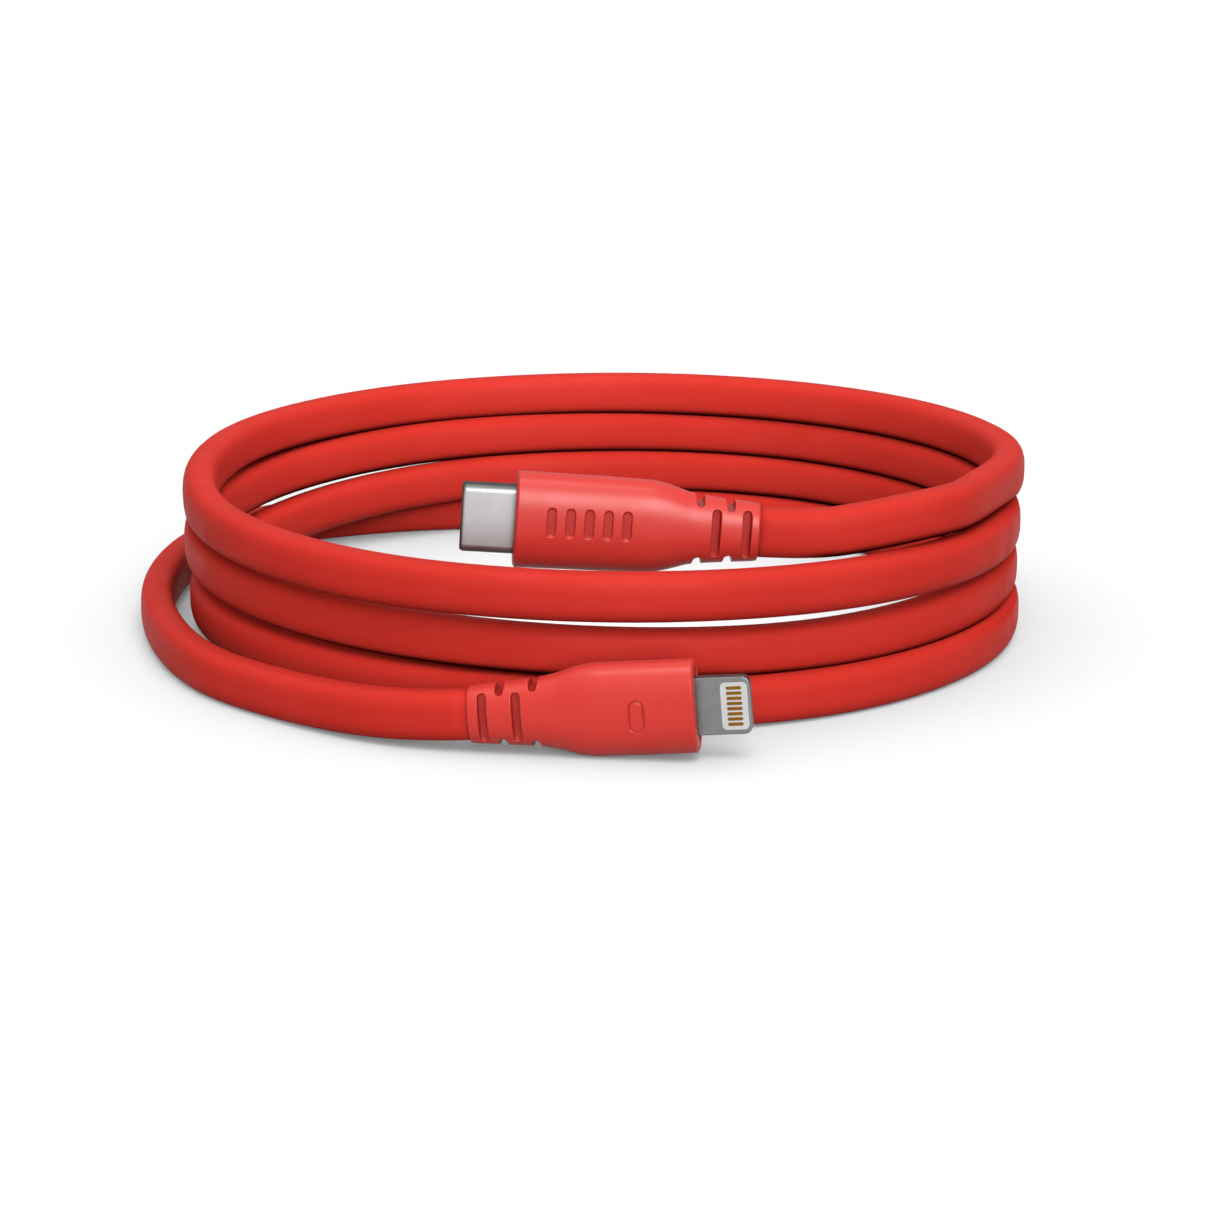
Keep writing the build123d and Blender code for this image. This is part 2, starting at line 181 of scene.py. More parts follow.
MOULD_CORNER = 1.3
MOULD_GAP = 0.02
HOLLOW_GAP = 0.03
BLADE_HOLLOW_CORNER = 0.65
ROOT_HOLLOW_CORNER = 0.1
TYPE_C_MOULD_END = 27.2
TAB_MOULD_END = 24.6
FERRULE_RADIUS = 2.2
FERRULE_BACK = 9.25
BRAID_END = 12.4


# ---- small helpers ----

def link(name, mesh, smooth=True):
    """A mesh as an object of the scene, with its normals facing out."""
    build = bmesh.new()
    build.from_mesh(mesh)
    bmesh.ops.recalc_face_normals(build, faces=build.faces)
    build.to_mesh(mesh)
    build.free()
    mesh.polygons.foreach_set("use_smooth", [smooth] * len(mesh.polygons))
    piece = bpy.data.objects.new(name, mesh)
    bpy.context.scene.collection.objects.link(piece)
    return piece


def plug_place(exit_point, yaw, pitch):
    """Plug axes in millimetres to the frame in metres."""
    yaw_angle = math.radians(yaw)
    pitch_angle = math.radians(pitch)
    flat = Vector((math.cos(yaw_angle), math.sin(yaw_angle), 0))
    axis = flat * math.cos(pitch_angle) + Vector((0, 0, math.sin(pitch_angle)))
    up = flat * -math.sin(pitch_angle) + Vector((0, 0, math.cos(pitch_angle)))
    side = up.cross(axis)
    turn = Matrix((axis, side, up)).transposed().to_4x4()
    return Matrix.Scale(MM, 4) @ Matrix.Translation(exit_point) @ turn


def oval(width, height, power):
    """A closed outline between an ellipse (power 2) and a rectangle, from +width round."""
    turn = np.linspace(0, 2 * math.pi, 721)
    across = np.cos(turn)
    up = np.sin(turn)
    y = width / 2 * np.sign(across) * np.abs(across) ** (2 / power)
    z = height / 2 * np.sign(up) * np.abs(up) ** (2 / power)
    return np.stack([y, z], axis=1)


def rounded(width, height, corner):
    """A closed rounded rectangle, from +width round."""
    points = [(width / 2, 0)]
    for quarter, (side, top) in enumerate(((1, 1), (-1, 1), (-1, -1), (1, -1))):
        for step in range(25):
            angle = math.pi / 2 * (quarter + step / 24)
            y = side * (width / 2 - corner) + corner * math.cos(angle)
            z = top * (height / 2 - corner) + corner * math.sin(angle)
            points.append((y, z))
    points.append((width / 2, 0))
    return np.array(points)


def ring(outline, count):
    """Points at even steps round a closed outline."""
    steps = np.linalg.norm(np.diff(outline, axis=0), axis=1)
    along = np.concatenate([[0], np.cumsum(steps)])
    wanted = np.linspace(0, along[-1], count, endpoint=False)
    y = np.interp(wanted, along, outline[:, 0])
    z = np.interp(wanted, along, outline[:, 1])
    return np.stack([y, z], axis=1)


def skin(name, rows, place=None, looped=False):
    """A closed skin over rings of points, with a cap on each end, or joined end to end if looped."""
    count = len(rows[0])
    points = np.concatenate(rows)
    faces = []
    pairs = len(rows) if looped else len(rows) - 1
    for row in range(pairs):
        here = row * count
        there = (row + 1) % len(rows) * count
        for index in range(count):
            after = (index + 1) % count
            faces.append((here + index, here + after, there + after, there + index))
    if not looped:
        ends = np.array([rows[0].mean(axis=0), rows[-1].mean(axis=0)])
        last = (len(rows) - 1) * count
        for index in range(count):
            after = (index + 1) % count
            faces.append((len(points), after, index))
            faces.append((len(points) + 1, last + index, last + after))
        points = np.concatenate([points, ends])
    mesh = bpy.data.meshes.new(name)
    mesh.from_pydata(points.tolist(), [], faces)
    if place is not None:
        mesh.transform(place)
    return link(name, mesh)


def add_values(piece, name, values):
    """One number for each point of a piece, that its material can read."""
    attribute = piece.data.attributes.new(name, "FLOAT", "POINT")
    attribute.data.foreach_set("value", np.array(values, dtype=np.float32))


def row_at(distance, outline):
    """A ring of the outline across a plug's axis."""
    points = ring(outline, GRIP_RING)
    return np.column_stack([np.full(len(points), distance), points])


# ---- the camera ----

def add_camera():
    """The camera, in front of the object and a little above it."""
    data = bpy.data.cameras.new("camera")
    data.lens = CAMERA_LENS
    data.sensor_width = CAMERA_SENSOR
    camera = bpy.data.objects.new("camera", data)
    elevation = math.radians(CAMERA_ELEVATION)
    back = Vector((0, -math.cos(elevation), math.sin(elevation)))
    camera.location = (CAMERA_TARGET + back * CAMERA_DISTANCE) * MM
    camera.rotation_euler = (math.pi / 2 - elevation, 0, 0)
    bpy.context.scene.collection.objects.link(camera)
    bpy.context.scene.camera = camera


# ---- the cord ----

def coil_points():
    """Control points of the coil's turns, which a quadratic spline pulls in to the radius wanted."""
    step = 360 / POINTS_PER_TURN
    pull = math.cos(math.radians(step / 2))
    angles = np.arange(0, LAST_TURN_ANGLE + 1, step)
    known = TURN_STEP * np.arange(len(TURNS))
    radii = np.interp(angles, known, [radius for radius, height in TURNS])
    heights = np.interp(angles, known, [height for radius, height in TURNS])
    points = []
    for angle, radius, height in zip(np.radians(angles), radii, heights):
        x = COIL_CENTRE[0] + radius / pull * math.cos(angle)
        y = COIL_CENTRE[1] + radius / pull * math.sin(angle)
        points.append((x, y, height))
    return points


def cord_line():
    """Points read from the cord's smooth line, in metres."""
    route = TYPE_C_LEAD + coil_points() + TAB_LOOP
    curve = bpy.data.curves.new("cord_line", "CURVE")
    curve.dimensions = "3D"
    curve.resolution_u = 10
    spline = curve.splines.new("NURBS")
    spline.points.add(len(route) - 1)
    for point, place in zip(spline.points, route):
        point.co = (place[0] * MM, place[1] * MM, place[2] * MM, 1)
    spline.order_u = 3
    spline.use_endpoint_u = True
    holder = bpy.data.objects.new("cord_line", curve)
    mesh = bpy.data.meshes.new_from_object(holder)
    line = [vertex.co.copy() for vertex in mesh.vertices]
    bpy.data.meshes.remove(mesh)
    bpy.data.objects.remove(holder)
    return line


def crevices(rows, line, outline):
    """Two numbers from 0 to 1 for each point of the cord: how deep it is in the crevice over another turn,
    which is how much painted shade it takes, and how near it is to any other turn."""
    low = np.interp(-outline[:, 1] / MM, CREVICE_LOW, (0, 1))
    middles = np.array(line) / MM
    along = np.concatenate([[0], np.cumsum(np.linalg.norm(np.diff(middles, axis=0), axis=1))])
    fine = np.arange(0, along[-1], CREVICE_STEP)
    track = np.stack([np.interp(fine, along, middles[:, axis]) for axis in range(3)], axis=1)
    crevice_shades = []
    shelter = []
    for row, place in zip(rows, along):
        others = track[np.abs(fine - place) > TURNS_APART]
        gaps = np.linalg.norm(row[:, None] / MM - others[None], axis=2)
        nearest = gaps.argmin(axis=1)
        near = np.clip((CREVICE_REACH - gaps.min(axis=1)) / CREVICE_FADE, 0, 1)
        crevice_shades.append(low * near * (row[:, 2] / MM > others[nearest, 2]))
        shelter.append(near)
    return np.concatenate(crevice_shades), np.concatenate(shelter)


def cord_skin(line):
    """The flat-oval cord round its line, always upright. Its values are "run", the way round and the way
    along,
    "depth", the painted shade in the crevices where another turn is close, and "shelter", which takes the
    gloss away near any other turn."""
    outline = ring(oval(CORD_WIDTH, CORD_HEIGHT, CORD_POWER), CORD_RING) * MM
    rows = []
    runs = []
    along = 0.0
    for index, point in enumerate(line):
        before = line[max(index - 1, 0)]
        after = line[min(index + 1, len(line) - 1)]
        along += (point - before).length
        tangent = (after - before).normalized()
        side = tangent.cross(Vector((0, 0, 1))).normalized()
        up = side.cross(tangent)
        rows.append(np.array([point + side * y + up * z for y, z in outline]))
        runs += [(around / len(outline), along, 0) for around in range(len(outline))]
    piece = skin("cord", rows)
    runs += [(0, 0, 0), (0, along, 0)]
    attribute = piece.data.attributes.new("run", "FLOAT_VECTOR", "POINT")
    attribute.data.foreach_set("vector", np.array(runs, dtype=np.float32).ravel())
    # Painted shade: the crevices between turns are darkened by their distance to the other turns, not lit.
    crevice_shades, shelter = crevices(rows, line, outline)
    add_values(piece, "depth", np.append(crevice_shades, (0, 0)))
    add_values(piece, "shelter", np.append(shelter, (0, 0)))
    return piece


# ---- the soft grips ----

def station_slopes(places, values):
    """Slopes for a smooth curve that never runs past its own stations."""
    gaps = np.diff(values) / np.diff(places)
    inner = [2 * a * b / (a + b) if a * b > 0 else 0.0 for a, b in zip(gaps, gaps[1:])]
    return [gaps[0]] + inner + [gaps[-1]]


def smooth_between(distance, places, values):
    """A smooth curve through values at places."""
    slopes = station_slopes(places, values)
    index = int(np.clip(np.searchsorted(places, distance) - 1, 0, len(places) - 2))
    gap = places[index + 1] - places[index]
    share = (distance - places[index]) / gap
    start = (2 * share ** 3 - 3 * share ** 2 + 1) * values[index]
    start += (share ** 3 - 2 * share ** 2 + share) * gap * slopes[index]
    end = (3 * share ** 2 - 2 * share ** 3) * values[index + 1]
    end += (share ** 3 - share ** 2) * gap * slopes[index + 1]
    return start + end


def grip_size(stations, distance):
    """Height and thickness of a grip at a distance along it."""
    places, heights, thicknesses = (np.array(column, float) for column in zip(*stations))
    return smooth_between(distance, places, heights), smooth_between(distance, places, thicknesses)


def ease(distance):
    """1 inside an outline, 0 outside it, and smooth over its wall."""
    share = np.clip(0.5 - distance / (2 * WALL), 0, 1)
    return share * share * (3 - 2 * share)


def stadium(x, z, middle, width, height):
    """Distance to a stadium outline, below zero inside it."""
    reach = (height - width) / 2
    beyond = np.maximum(np.abs(z - middle[1]) - reach, 0)
    return np.hypot(x - middle[0], beyond) - width / 2


def carve_side(points, distance, depth, thickness, sides):
    """Press the broad faces in by depth where distance is below zero."""
    share = ease(distance)
    floor = thickness / 2 - depth
    for side in sides:
        facing = np.sign(points[:, 1]) == side
        pressed = side * np.minimum(np.abs(points[:, 1]), floor)
        moved = points[:, 1] * (1 - share) + pressed * share
        points[:, 1] = np.where(facing, moved, points[:, 1])


def carve_notch(points, x, middle, height):
    """Cut the top and bottom edges through, down to a round bottom."""
    half = SLOT_WIDTH / 2
    offset = abs(x - middle)
    if offset > half + WALL:
        return
    inside = max(half ** 2 - offset ** 2, 0) ** 0.5
    floor = height / 2 - NOTCH_DEPTH + half - inside
    share = float(ease(np.array(offset - half)))
    cut = np.sign(points[:, 2]) * np.minimum(np.abs(points[:, 2]), floor)
    points[:, 2] = points[:, 2] * (1 - share) + cut * share


def grip_places(end, features):
    """Distances for the rings of a grip, close together at the walls of its slots and marks."""
    places = set(np.round(np.arange(0.4, end - FRONT_ROUND, 0.3), 3).tolist())
    for middle, half in features:
        for offset in (0, 0.4, 0.7, 0.9):
            places.update((round(middle - half * offset, 3), round(middle + half * offset, 3)))
        for offset in (-WALL, -WALL / 2, 0, WALL / 2, WALL, 3 * WALL):
            places.update((round(middle - half - offset, 3), round(middle + half + offset, 3)))
    rim = end - FRONT_ROUND * (1 - math.sin(math.radians(RIM_CREASE)))
    places.update((round(rim - 0.12, 3), round(rim - 0.03, 3)))
    return sorted(place for place in places if BACK_ROUND < place < rim)


def grip_rows(stations, slots, notches, marks):
    """Outer rings of a grip, from the cord to the front rim, and how far each ring is pressed in, for its
    painted shade.
    """
    end = stations[-1][0]
    features = [(middle, SLOT_WIDTH / 2) for middle in slots + notches]
    for mark in marks:
        features += mark.features
    rows = []
    presses = []
    for step in range(6):
        angle = math.pi / 2 * step / 5
        height, thickness = grip_size(stations, 0)
        inset = 2 * BACK_ROUND * (1 - math.sin(angle))
        outline = oval(thickness - inset, height - inset, GRIP_POWER)
        rows.append(row_at(BACK_ROUND * (1 - math.cos(angle)), outline))
    for x in grip_places(end, features):
        height, thickness = grip_size(stations, x)
        row = row_at(x, oval(thickness, height, GRIP_POWER))
        plain = row.copy()
        for middle in slots:
            distance = stadium(x, row[:, 2], (middle, 0), SLOT_WIDTH, SLOT_HEIGHT)
            carve_side(row, distance, SLOT_DEPTH, thickness, (-1, 1))
        for middle in notches:
            carve_notch(row, x, middle, height)
        for mark in marks:
            mark.carve(row, x, thickness)
        rows.append(row)
        presses.append((len(rows) - 1, np.linalg.norm(row - plain, axis=1) / MARK_DEPTH))
    height, thickness = grip_size(stations, end)
    for step in range(8):
        angle = math.radians(RIM_CREASE + (90 - RIM_CREASE) * step / 7)
        inset = 2 * FRONT_ROUND * (math.cos(math.radians(RIM_CREASE)) - math.cos(angle))
        outline = oval(thickness - inset, height - inset, GRIP_POWER)
        rows.append(row_at(end - FRONT_ROUND * (1 - math.sin(angle)), outline))
    return rows, presses


class Bars:
    """Plain upright bars pressed into one broad face."""

    def __init__(self, middles, rise, width, height, side):
        self.middles = middles
        self.rise = rise
        self.width = width
        self.height = height
        self.side = side
        self.features = [(middle, width / 2) for middle in middles]

    def carve(self, row, x, thickness):
        """Press the bars into one ring of a grip."""
        for middle in self.middles:
            distance = stadium(x, row[:, 2], (middle, self.rise), self.width, self.height)
            carve_side(row, distance, MARK_DEPTH, thickness, (self.side,))


class Outline:
    """A plain stadium line pressed into one broad face."""

    def __init__(self, middle, width, height, line, side):
        self.middle = middle
        self.width = width
        self.height = height
        self.line = line
        self.side = side
        steps = np.linspace(-1, 1, 15)
        self.features = [(middle[0] + step * width / 2, line / 2) for step in steps]

    def carve(self, row, x, thickness):
        """Press the line into one ring of a grip."""
        distance = np.abs(stadium(x, row[:, 2], self.middle, self.width, self.height)) - self.line / 2
        carve_side(row, distance, MARK_DEPTH / 2, thickness, (self.side,))


def hollow(width, height, corner):
    """The hollow in a grip's front that a connector of this section goes through."""
    return rounded(width + 2 * HOLLOW_GAP, height + 2 * HOLLOW_GAP, corner)


def grip(name, stations, slots, notches, marks, hollows, place):
    """A soft grip moulded round its connector: outside, front face, and the hollows inside, with painted
    shade in its pressed slots, notches and marks.
    """
    rows, presses = grip_rows(stations, slots, notches, marks)
    mould = rounded(MOULD_THICKNESS + 2 * MOULD_GAP, MOULD_HEIGHT + 2 * MOULD_GAP, MOULD_CORNER)
    bore_width = 2 * FERRULE_RADIUS + 2 * MOULD_GAP
    bore = rounded(bore_width, bore_width, FERRULE_RADIUS + MOULD_GAP)
    front = stations[-1][0]
    for back, outline in hollows:
        rows.append(row_at(front, outline))
        front = back + MOULD_GAP
        rows.append(row_at(front, outline))
    rows.append(row_at(front, mould))
    rows.append(row_at(BRAID_END - MOULD_GAP, mould))
    rows.append(row_at(BRAID_END - MOULD_GAP, bore))
    rows.append(row_at(FERRULE_BACK, bore))
    piece = skin(name, rows, place)
    # Painted shade: the floors of the pressed slots, notches and marks are darkened by how far they are
    # pressed in.
    depth = np.zeros(len(piece.data.vertices))
    for index, press in presses:
        depth[index * GRIP_RING:(index + 1) * GRIP_RING] = np.minimum(press, 1)
    add_values(piece, "depth", depth)
    return piece


# ---- the connectors ----

def shell(place):
    """The drawn steel shell, with a rolled lip at its mouth. "depth" is 1 on its edges and its lip, for the
    painted shade and dark reflection there.
    """
    length = TYPE_C_TIP - SHELL_START
    rows = []
    edges = []
    for back, inset in [(length, 0)] + SHELL_MOUTH + [(length, SHELL_WALL)]:
        thickness = SHELL_THICKNESS - 2 * inset
        outline = rounded(thickness, SHELL_HEIGHT - 2 * inset, SHELL_CORNER - inset)
        row = row_at(TYPE_C_TIP - back, outline)
        rows.append(row)
        # Painted shade and dark reflection: full on the lip and inside, and on the flat face only over the
        # rounded edges.
        beyond = np.abs(row[:, 2]) - (SHELL_HEIGHT / 2 - SHELL_CORNER)
        corner = np.clip((beyond / SHELL_CORNER - SHELL_EDGE_START) / SHELL_EDGE_FADE, 0, 1)
        on_face = back > SHELL_FACE_BACK and inset < SHELL_FACE_INSET
        edges.append(corner if on_face else np.ones(len(row)))
    piece = skin("type_c_shell_skin", rows, place, looped=True)
    add_values(piece, "depth", np.concatenate(edges))
    return piece


def plate(name, outlines, thickness, bevel, place):
    """A flat plate with rounded edges in the plane of a plug's broad face. More outlines make holes in it."""
    curve = bpy.data.curves.new(name, "CURVE")
    curve.dimensions = "2D"
    curve.fill_mode = "BOTH"
    curve.extrude = thickness / 2 - bevel
    curve.bevel_depth = bevel
    curve.bevel_resolution = 3
    curve.offset = -bevel
    for outline in outlines:
        spline = curve.splines.new("POLY")
        spline.points.add(len(outline) - 1)
        for point, (x, z) in zip(spline.points, outline):
            point.co = (x, z, 0, 1)
        spline.use_cyclic_u = True
    holder = bpy.data.objects.new(name, curve)
    mesh = bpy.data.meshes.new_from_object(holder)
    bpy.data.objects.remove(holder)
    upright = Matrix(((1, 0, 0, 0), (0, 0, 1, 0), (0, 1, 0, 0), (0, 0, 0, 1)))
    mesh.transform(place @ upright)
    build = bmesh.new()
    build.from_mesh(mesh)
    bmesh.ops.remove_doubles(build, verts=build.verts, dist=1e-7)
    build.to_mesh(mesh)
    build.free()
    return link(name, mesh, smooth=False)


def tab_blade(place):
    """The steel tab: a flat blade with a window, on its thicker root."""
    outline = face_outline(BLADE_START, TAB_TIP, BLADE_HEIGHT, BLADE_CORNER)
    inset = BLADE_BEVEL
    window = face_outline(INSERT_START + inset, INSERT_END - inset, INSERT_HEIGHT - 2 * inset, WINDOW_CORNER)
    blade = plate("tab_blade", [outline, window], BLADE_THICKNESS, BLADE_BEVEL, place)
    section = rounded(ROOT_THICKNESS, ROOT_HEIGHT, ROOT_CORNER)
    root = skin("tab_root", [row_at(ROOT_START, section), row_at(ROOT_END, section)], place)
    build = bmesh.new()
    build.from_mesh(blade.data)
    build.from_mesh(root.data)
    build.to_mesh(blade.data)
    build.free()
    bpy.data.objects.remove(root)
    return blade


def face_outline(x_start, x_end, height, corner):
    """A rounded rectangle in a plug's broad face."""
    points = rounded(x_end - x_start, height, corner)[1:-1]
    middle = (x_start + x_end) / 2
    return [(middle + x, z) for x, z in points]


# ---- materials ----

# Looks: colour, second colour, lowest and highest roughness, and what else the kind of material takes.
# The last colour of the grip's and the cord's looks is the tint of their painted shade, in recesses and
# crevices.
GRIP_LOOK = ((0.72, 0.041, 0.03), (0.69, 0.038, 0.027), (0.34, 0.41), 0.38, (0.76, 0.62, 0.62))
CORD_LOOK = ((0.69, 0.037, 0.026), (0.655, 0.033, 0.022), (0.48, 0.6), 0.06, (0.1, 0.06, 0.06))
METALS = {
    "tinned_can": ((0.62, 0.62, 0.6), (0.5, 0.5, 0.48), (0.28, 0.45), (1, 1, 5), 0.15),
    "plug_steel": ((0.47, 0.47, 0.475), (0.44, 0.44, 0.445), (0.42, 0.5), (0.2, 1, 2), 0.05),
    "tab_steel": ((0.22, 0.22, 0.222), (0.2, 0.2, 0.202), (0.34, 0.42), (1, 1, 1), 0.1),
    "gold_contact": ((0.25, 0.11, 0.012), (0.2, 0.085, 0.008), (0.3, 0.4), (3, 3, 1), 0.05),
    "spring_steel": ((0.55, 0.55, 0.54), (0.45, 0.45, 0.44), (0.25, 0.4), (3, 1, 1), 0.15),
}
PLASTICS = {
    "inner_plastic": ((0.78, 0.75, 0.66), (0.72, 0.69, 0.6), (0.4, 0.55)),
    "black_insulator": ((0.03, 0.03, 0.032), (0.02, 0.02, 0.02), (0.35, 0.5)),
    "white_insulator": ((0.70, 0.70, 0.69), (0.66, 0.66, 0.65), (0.3, 0.42)),
    "chip_black": ((0.028, 0.028, 0.03), (0.018, 0.018, 0.018), (0.4, 0.6)),
    "capacitor_tan": ((0.5, 0.37, 0.24), (0.42, 0.3, 0.18), (0.3, 0.45)),
    "wire_red": ((0.6, 0.04, 0.03), (0.5, 0.03, 0.02), (0.3, 0.4)),
    "wire_black": ((0.025, 0.025, 0.025), (0.015, 0.015, 0.015), (0.3, 0.4)),
    "wire_green": ((0.03, 0.36, 0.1), (0.02, 0.28, 0.08), (0.3, 0.4)),
    "wire_white": ((0.8, 0.8, 0.79), (0.7, 0.7, 0.69), (0.3, 0.4)),
}


class Paint:
    """A material's node tree, with its principled shader."""

    def __init__(self, name):
        self.material = bpy.data.materials.new(name)
        self.material.use_nodes = True
        self.nodes = self.material.node_tree.nodes
        self.links = self.material.node_tree.links
        self.shader = self.nodes["Principled BSDF"]
        self.coordinates = self.nodes.new("ShaderNodeTexCoord").outputs["Object"]

    def noise(self, scale, detail=2.0, stretch=None, source=None):
        """A noise pattern, with so many cells a metre."""
        source = source or self.coordinates
        if stretch:
            mapping = self.nodes.new("ShaderNodeMapping")
            mapping.inputs["Scale"].default_value = stretch
            self.links.new(source, mapping.inputs["Vector"])
            source = mapping.outputs["Vector"]
        node = self.nodes.new("ShaderNodeTexNoise")
        node.inputs["Scale"].default_value = scale
        node.inputs["Detail"].default_value = detail
        self.links.new(source, node.inputs["Vector"])
        return node.outputs["Fac"]

    def colour(self, factor, first, second, low=0.35, high=0.65):
        """Two colours mixed by a pattern."""
        ramp = self.nodes.new("ShaderNodeValToRGB")
        ramp.color_ramp.elements[0].position = low
        ramp.color_ramp.elements[0].color = (*first, 1)
        ramp.color_ramp.elements[1].position = high
        ramp.color_ramp.elements[1].color = (*second, 1)
        self.links.new(factor, ramp.inputs["Fac"])
        self.links.new(ramp.outputs["Color"], self.shader.inputs["Base Color"])

    def darken(self, name, tint):
        """Multiply the colour by a tint where a piece's own values say so, to paint shade."""
        attribute = self.nodes.new("ShaderNodeAttribute")
        attribute.attribute_name = name
        mix = self.nodes.new("ShaderNodeMix")
        mix.data_type = "RGBA"
        mix.blend_type = "MULTIPLY"
        base = self.shader.inputs["Base Color"]
        self.links.new(attribute.outputs["Fac"], mix.inputs["Factor"])
        self.links.new(base.links[0].from_socket, mix.inputs["A"])
        mix.inputs["B"].default_value = (*tint, 1)
        self.links.new(mix.outputs["Result"], base)

    def fade(self, name, socket, value):
        """Take a value of the shader down to nothing where a piece's own values say so."""
        attribute = self.nodes.new("ShaderNodeAttribute")
        attribute.attribute_name = name
        spread = self.nodes.new("ShaderNodeMapRange")
        spread.inputs["To Min"].default_value = value
        spread.inputs["To Max"].default_value = 0.0
        self.links.new(attribute.outputs["Fac"], spread.inputs["Value"])
        self.links.new(spread.outputs["Result"], self.shader.inputs[socket])

    def roughness(self, factor, low, high):
        """Roughness that a pattern moves between two values."""
        spread = self.nodes.new("ShaderNodeMapRange")
        spread.inputs["From Min"].default_value = 0.3
        spread.inputs["From Max"].default_value = 0.7
        spread.inputs["To Min"].default_value = low
        spread.inputs["To Max"].default_value = high
        self.links.new(factor, spread.inputs["Value"])
        self.links.new(spread.outputs["Result"], self.shader.inputs["Roughness"])

    def bump(self, factor, strength, distance):
        """Fine relief on top of what is there already."""
        node = self.nodes.new("ShaderNodeBump")
        node.inputs["Strength"].default_value = strength
        node.inputs["Distance"].default_value = distance
        self.links.new(factor, node.inputs["Height"])
        normal = self.shader.inputs["Normal"]
        if normal.is_linked:
            self.links.new(normal.links[0].from_socket, node.inputs["Normal"])
        self.links.new(node.outputs["Normal"], normal)


def jacket_paint(name, base, shade, rough, gloss, tint, run=False):
    """Soft-touch red elastomer with a fine moulded grain, painted shade where its "depth" value says, and
    faint drawn lines along the cord.
    """
    paint = Paint(name)
    paint.colour(paint.noise(70, 3), shade, base)
    # Painted shade in the grips' pressed slots, notches and marks, and in the cord's crevices.
    paint.darken("depth", tint)
    paint.roughness(paint.noise(260, 4), rough[0], rough[1])
    paint.shader.inputs["Specular IOR Level"].default_value = gloss
    paint.bump(paint.noise(5200, 2), 0.18, 0.00003)
    paint.bump(paint.noise(420, 3), 0.10, 0.00006)
    if run:
        attribute = paint.nodes.new("ShaderNodeAttribute")
        attribute.attribute_name = "run"
        # The gloss is taken away near other turns, so that no reflection shows in the shaded crevices.
        paint.fade("shelter", "Specular IOR Level", gloss)
        lines = paint.noise(1.0, 3, (90, 14, 1), attribute.outputs["Vector"])
        paint.bump(lines, 0.12, 0.00004)
    return paint.material


def metal_paint(name, base, shade, rough, stretch, brushed):
    """Bare metal, with its drawn or brushed lines, faint handling marks, and painted shade where its piece's
    "depth" value says.
    """
    paint = Paint(name)
    paint.shader.inputs["Metallic"].default_value = 1.0
    paint.colour(paint.noise(900, 4), shade, base)
    # Painted shade and dark reflection, on the shell's rounded edges and lip.
    paint.darken("depth", (0.22, 0.22, 0.22))
    paint.roughness(paint.noise(1500, 3, stretch), rough[0], rough[1])
    paint.bump(paint.noise(2600, 2, stretch), brushed, 0.00001)
    return paint.material


def plastic_paint(name, base, shade, rough):
    """Moulded plastic with a light grain."""
    paint = Paint(name)
    paint.colour(paint.noise(600, 3), shade, base)
    paint.roughness(paint.noise(1400, 3), rough[0], rough[1])
    paint.bump(paint.noise(6000, 2), 0.12, 0.00002)
    return paint.material


def board_paint(name):
    """Green solder mask over copper tracks."""
    paint = Paint(name)
    paint.colour(paint.noise(1500, 0, (1, 1, 4)), (0.012, 0.13, 0.055), (0.03, 0.24, 0.11), 0.48, 0.52)
    paint.roughness(paint.noise(900, 2), 0.25, 0.38)
    paint.bump(paint.noise(1500, 0, (1, 1, 4)), 0.3, 0.00003)
    return paint.material


def braid_paint(name):
    """Woven tinned copper."""
    paint = Paint(name)
    paint.shader.inputs["Metallic"].default_value = 1.0
    paint.colour(paint.noise(2600, 1), (0.45, 0.26, 0.14), (0.78, 0.6, 0.42))
    paint.roughness(paint.noise(2200, 2), 0.3, 0.5)
    paint.bump(paint.noise(4200, 1), 0.8, 0.00008)
    return paint.material


def make_paints():
    """One material for each slot of the record, and the cord's own."""
    paints = {
        "red_jacket": jacket_paint("red_jacket", *GRIP_LOOK),
        "red_cord": jacket_paint("red_cord", *CORD_LOOK, run=True),
        "copper_braid": braid_paint("copper_braid"),
        "board_green": board_paint("board_green"),
    }
    paints.update({name: metal_paint(name, *look) for name, look in METALS.items()})
    paints.update({name: plastic_paint(name, *look) for name, look in PLASTICS.items()})
    return paints


# ---- floor and light, in metres and degrees ----

FLOOR_HALF = 4.0
FLOOR_GLOW = 0.1
BACKDROP_RADIUS = 3.9
BACKDROP_HEIGHTS = (-0.01, 1.2)
BACKDROP_SIDES = 64
SKY_HORIZON = 0.14
SKY_TOP = 0.72
SKY_TOP_AT = 0.7
SKY_STRENGTH = 1.02
# Azimuth, elevation, strength, softness. A gleam is seen in the surfaces and doesn't light them.
SUNS = {"key": (15, 57, 1.0, 40), "fill": (6, 17, 1.55, 30)}
GLEAMS = {"band": (18, 22, 2.7, 30), "rim": (-20, 76, 1.2, 16)}
INNER_PLACE = (COIL_CENTRE[0] * MM, -0.02, 0.034)
INNER_SIZE = (0.07, 0.02)
INNER_TILT = 82
INNER_POWER = 0.009


